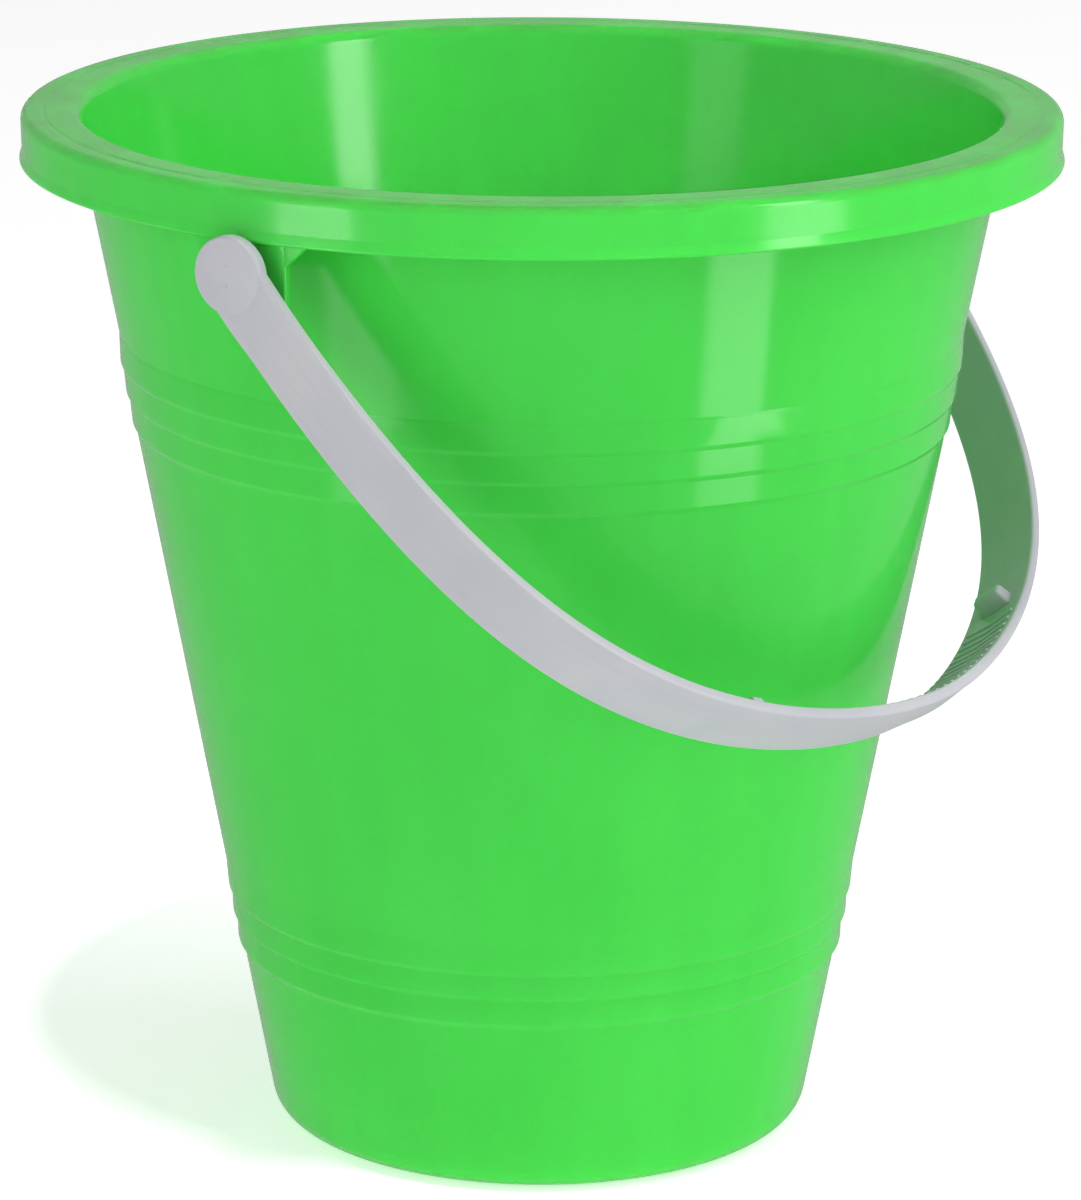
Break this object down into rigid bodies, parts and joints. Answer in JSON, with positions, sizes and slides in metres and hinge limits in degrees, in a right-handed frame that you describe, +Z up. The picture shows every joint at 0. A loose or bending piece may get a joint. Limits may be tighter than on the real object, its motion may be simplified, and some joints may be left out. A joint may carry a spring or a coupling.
{
  "type": "sand bucket",
  "caption": "Tapered plastic sand pail with a turned-over rim, stepped ridges and a swinging bail handle snapped into ears under the rim.",
  "frame": {"origin": "centre of the base, on the plane that the bucket stands on", "axes": "+Z up out of the mouth, +X along the handle's pivot line, -Y towards the side where the handle hangs"},
  "size_m": [0.1868, 0.18, 0.1817],
  "materials": {
    "green_plastic": "glossy bright green moulded polypropylene",
    "white_plastic": "satin off-white moulded polypropylene"
  },
  "bodies": {
    "bucket": {"bucket": "green_plastic"},
    "handle": {"handle": "white_plastic"}
  },
  "joints": [
    {"name": "handle_swing", "type": "hinge", "parent": "bucket", "child": "handle", "pos_m": [0, 0, 0.1681], "axis": [-1, 0, 0], "range_deg": [-5, 280]}
  ]
}
